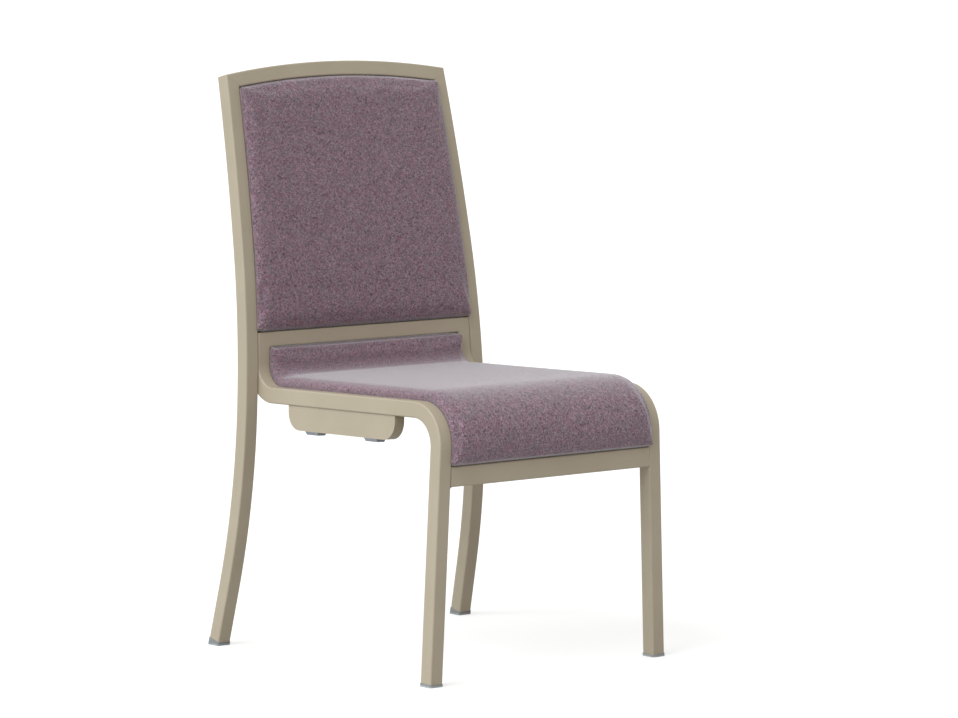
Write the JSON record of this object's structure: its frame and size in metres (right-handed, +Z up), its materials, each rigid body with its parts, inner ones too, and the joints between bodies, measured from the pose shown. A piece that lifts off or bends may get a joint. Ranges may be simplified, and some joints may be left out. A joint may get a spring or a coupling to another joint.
{
  "type": "stacking chair",
  "caption": "Armless stacking chair with bent rectangular tube side frames, an inset padded back, a one-piece waterfall seat, under-seat stacking bars and foot glides.",
  "frame": {"origin": "floor level under the middle of the chair's width and depth", "axes": "+X across the chair, +Y from the front legs toward the back, +Z up"},
  "size_m": [0.514, 0.5772, 0.916],
  "materials": {
    "frame_coat": "satin",
    "glide_plastic": "matte",
    "bumper_rubber": "matte",
    "formed_ply": "matte",
    "foam": "matte",
    "upholstery": "matte",
    "zinc_steel": "satin"
  },
  "bodies": {
    "root": {"post_left": "frame_coat", "post_right": "frame_coat", "side_rail_left": "frame_coat", "side_rail_right": "frame_coat", "crown_rail": "frame_coat", "middle_rail": "frame_coat", "front_rail": "frame_coat", "cross_bar_front": "frame_coat", "cross_bar_rear": "frame_coat", "stacking_bar_left": "frame_coat", "stacking_bar_right": "frame_coat", "bumpers_left": "bumper_rubber", "bumpers_right": "bumper_rubber", "glide_front_left": "glide_plastic", "glide_front_right": "glide_plastic", "glide_rear_left": "glide_plastic", "glide_rear_right": "glide_plastic", "seat_board": "formed_ply", "seat_foam": "foam", "seat_cover": "upholstery", "back_board": "formed_ply", "back_foam": "foam", "back_cover": "upholstery", "back_rear_panel": "upholstery", "back_tabs": "frame_coat", "seat_screws": "zinc_steel", "seat_nuts": "zinc_steel", "back_screws": "zinc_steel", "back_nuts": "zinc_steel", "front_rail_welds": "frame_coat"}
  },
  "joints": []
}
